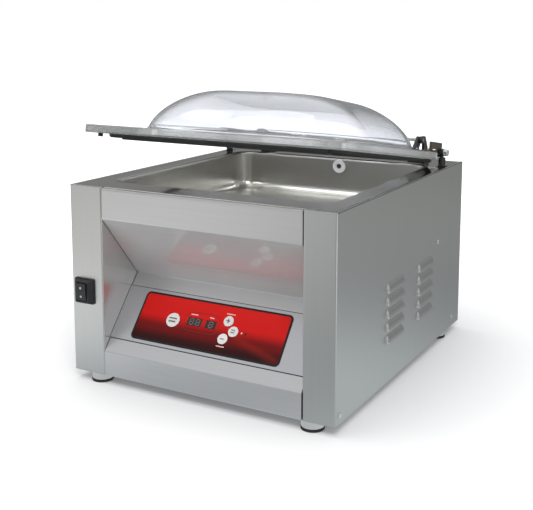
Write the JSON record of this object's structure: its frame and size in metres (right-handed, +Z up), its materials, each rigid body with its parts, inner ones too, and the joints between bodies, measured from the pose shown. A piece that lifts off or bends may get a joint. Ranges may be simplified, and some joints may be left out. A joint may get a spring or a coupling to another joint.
{
  "type": "vacuum packing machine",
  "caption": "Bench-top chamber vacuum packing machine: folded steel casing with a recessed control slope, deep-drawn chamber and a clear domed lid on hinges with gas springs",
  "frame": {"origin": "on the table, under the middle of the machine's footprint, its switch and screw heads included", "axes": "+Z up, +X to the right of the user who faces the control panel, +Y to the back; the lid is stored at the height where the gas springs hold it"},
  "size_m": [0.492, 0.5798, 0.477],
  "materials": {
    "brushed_case": "brushed stainless sheet",
    "galvanised": "plain stainless sheet",
    "polished_tub": "polished deep-drawn stainless",
    "red_membrane": "satin polyester membrane, red fading to near black",
    "dark_display": "dark display blocks",
    "button_white": "pale domed caps",
    "switch_black": "moulded black",
    "port_white": "white moulded fitting",
    "pipe_black": "reinforced hose",
    "valve_brass": "brass block",
    "pump_grey": "grey enamelled casting",
    "buffer_rubber": "rubber",
    "transformer_steel": "laminated steel and windings",
    "board_green": "printed board",
    "inlet_black": "moulded black",
    "foot_chrome": "bright turned cup",
    "foot_rubber": "black rubber",
    "screw_steel": "bright screw heads",
    "hinge_black": "black glass-filled moulding",
    "cylinder_aluminium": "anodised aluminium",
    "band_tape": "coated glass-cloth tape",
    "anchor_steel": "turned steel",
    "clear_lid": "clear polished acrylic",
    "gasket_black": "soft black seal",
    "counter_black": "black bar",
    "pad_silicone": "silicone strip",
    "clamp_steel": "bent stainless bracket",
    "stud_bright": "bright turned stud",
    "tube_black": "black lacquered tube",
    "rod_chrome": "hard chrome rod"
  },
  "bodies": {
    "cabinet": {"side_panel_left": "brushed_case", "side_panel_right": "brushed_case", "rear_panel": "galvanised", "base_tray": "galvanised", "front_fascia": "brushed_case", "control_plate": "brushed_case", "keypad_overlay": "red_membrane", "display_module": "dark_display", "main_switch_housing": "switch_black", "chamber_tub": "polished_tub", "suction_port": "port_white", "suction_pipe": "pipe_black", "vacuum_valve": "valve_brass", "vacuum_pump": "pump_grey", "pump_motor": "pump_grey", "pump_buffers": "buffer_rubber", "seal_transformer": "transformer_steel", "control_board": "board_green", "power_inlet": "inlet_black", "foot_cup_front_left": "foot_chrome", "foot_cup_front_right": "foot_chrome", "foot_cup_rear_left": "foot_chrome", "foot_cup_rear_right": "foot_chrome", "foot_pad_front_left": "foot_rubber", "foot_pad_front_right": "foot_rubber", "foot_pad_rear_left": "foot_rubber", "foot_pad_rear_right": "foot_rubber", "panel_screws": "screw_steel", "hinge_bracket_left": "hinge_black", "hinge_bracket_right": "hinge_black", "seal_cylinder_left": "cylinder_aluminium", "seal_cylinder_right": "cylinder_aluminium", "spring_anchor_left": "anchor_steel", "spring_anchor_right": "anchor_steel"},
    "lid": {"lid_dome": "clear_lid", "lid_gasket": "gasket_black", "counter_bar": "counter_black", "counter_bar_pad": "pad_silicone", "lid_buffers": "buffer_rubber", "lid_bolts": "screw_steel", "hinge_shaft": "anchor_steel", "lid_hinge_arm_left": "hinge_black", "lid_hinge_arm_right": "hinge_black", "lid_clamp_left": "clamp_steel", "lid_clamp_right": "clamp_steel", "lid_stud_left": "stud_bright", "lid_stud_right": "stud_bright"},
    "gas_tube_left": {"gas_spring_tube_left": "tube_black"},
    "gas_tube_right": {"gas_spring_tube_right": "tube_black"},
    "gas_rod_left": {"gas_spring_rod_left": "rod_chrome"},
    "gas_rod_right": {"gas_spring_rod_right": "rod_chrome"},
    "sealer": {"seal_bar": "cylinder_aluminium", "seal_band": "band_tape", "seal_bar_piston_left": "anchor_steel", "seal_bar_piston_right": "anchor_steel"},
    "rocker": {"main_switch_rocker": "switch_black"},
    "start": {"start_button": "button_white"},
    "plus": {"plus_button": "button_white"},
    "set": {"set_button": "button_white"},
    "minus": {"minus_button": "button_white"}
  },
  "joints": [
    {"name": "lid_hinge", "type": "hinge", "parent": "cabinet", "child": "lid", "pos_m": [0, 0.23487, 0.371], "axis": [-1, 0, 0], "range_deg": [-9.2, 36]},
    {"name": "seal_bar_lift", "type": "slide", "parent": "cabinet", "child": "sealer", "axis": [0, 0, 1], "range_m": [0, 0.0117], "stiffness_N_per_m": 300, "springref_m": -0.004},
    {"name": "switch_rock", "type": "hinge", "parent": "cabinet", "child": "rocker", "pos_m": [-0.2135, -0.27913, 0.154], "axis": [-1, 0, 0], "range_deg": [0, 7]},
    {"name": "start_press", "type": "slide", "parent": "cabinet", "child": "start", "axis": [0, 0.7687, -0.6396], "range_m": [0, 0.0007], "stiffness_N_per_m": 900, "springref_m": -0.0005},
    {"name": "plus_press", "type": "slide", "parent": "cabinet", "child": "plus", "axis": [0, 0.7687, -0.6396], "range_m": [0, 0.0007], "stiffness_N_per_m": 900, "springref_m": -0.0005},
    {"name": "set_press", "type": "slide", "parent": "cabinet", "child": "set", "axis": [0, 0.7687, -0.6396], "range_m": [0, 0.0007], "stiffness_N_per_m": 900, "springref_m": -0.0005},
    {"name": "minus_press", "type": "slide", "parent": "cabinet", "child": "minus", "axis": [0, 0.7687, -0.6396], "range_m": [0, 0.0007], "stiffness_N_per_m": 900, "springref_m": -0.0005},
    {"name": "spring_pivot_left", "type": "hinge", "parent": "lid", "child": "gas_tube_left", "pos_m": [0, 0.20087, 0.355], "axis": [-1, 0, 0], "range_deg": [-37.6, 9.9]},
    {"name": "spring_stroke_left", "type": "slide", "parent": "gas_tube_left", "child": "gas_rod_left", "axis": [0, 0, -1], "range_m": [-0.0062, 0.023]},
    {"name": "spring_pivot_right", "type": "hinge", "parent": "lid", "child": "gas_tube_right", "pos_m": [0, 0.20087, 0.355], "axis": [-1, 0, 0], "range_deg": [-37.6, 9.9]},
    {"name": "spring_stroke_right", "type": "slide", "parent": "gas_tube_right", "child": "gas_rod_right", "axis": [0, 0, -1], "range_m": [-0.0062, 0.023]}
  ],
  "couplings": [
    {"joint": "spring_pivot_left", "follows": "lid_hinge", "ratio": -1.0335},
    {"joint": "spring_stroke_left", "follows": "lid_hinge", "m_per_rad": 0.035775},
    {"joint": "spring_pivot_right", "follows": "lid_hinge", "ratio": -1.0335},
    {"joint": "spring_stroke_right", "follows": "lid_hinge", "m_per_rad": 0.035775}
  ]
}
